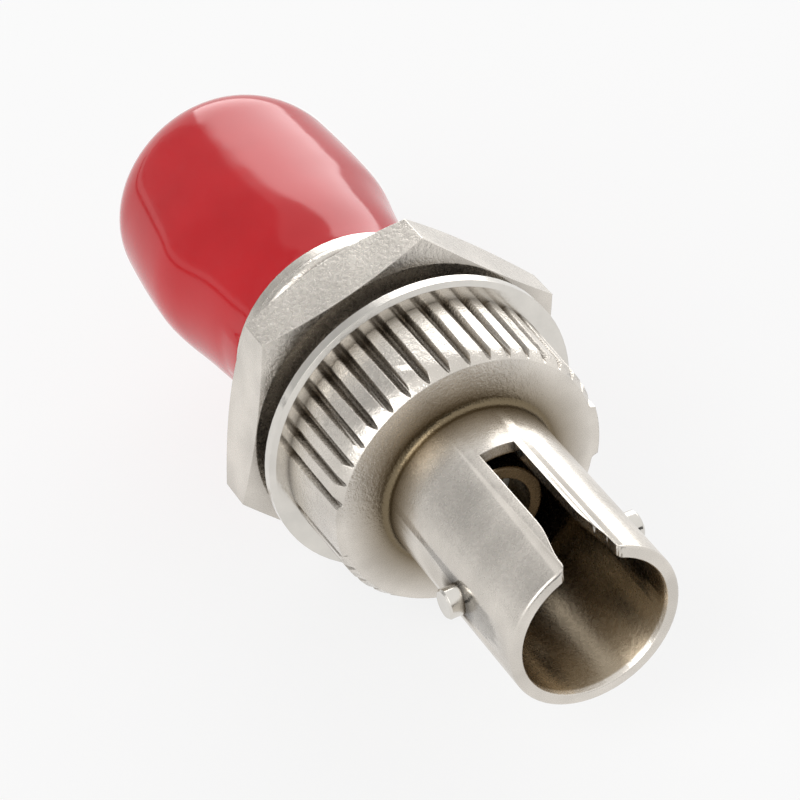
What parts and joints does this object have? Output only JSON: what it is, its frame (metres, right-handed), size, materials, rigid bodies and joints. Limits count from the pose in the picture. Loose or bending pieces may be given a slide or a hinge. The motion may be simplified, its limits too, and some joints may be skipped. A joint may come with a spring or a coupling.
{
  "type": "bayonet fibre bulkhead adapter",
  "caption": "Straight bulkhead coupler joining two bayonet fibre plugs, with a knurled collar, a threaded stem with washer and nut, and a red push-on dust cap over the rear socket.",
  "frame": {"origin": "on the axis, in the panel seat at the back face of the collar", "axes": "-Y along the axis out of the open front socket, +Y towards the nut and the capped rear socket, +Z towards the keyways, X along the bayonet pins"},
  "size_m": [0.014, 0.0339, 0.0142],
  "materials": {
    "cast_nickel": "satin nickel plate over a fine cast grit",
    "bright_steel": "bright, smooth",
    "zirconia": "white ceramic, ground",
    "red_vinyl": "glossy soft vinyl"
  },
  "bodies": {
    "coupler": {"front_housing": "cast_nickel", "rear_housing": "cast_nickel", "alignment_sleeve": "zirconia", "front_pin_left": "bright_steel", "front_pin_right": "bright_steel", "rear_pin_left": "bright_steel", "rear_pin_right": "bright_steel", "panel_washer": "bright_steel"},
    "nut": {"hex_nut": "cast_nickel"},
    "cap": {"dust_cap": "red_vinyl"}
  },
  "joints": [
    {"name": "cap_pull", "type": "slide", "parent": "coupler", "child": "cap", "axis": [0, 1, 0], "range_m": [0, 0.01]},
    {"name": "nut_travel", "type": "slide", "parent": "coupler", "child": "nut", "axis": [0, 1, 0], "range_m": [-0.00115, 0.0037]}
  ]
}
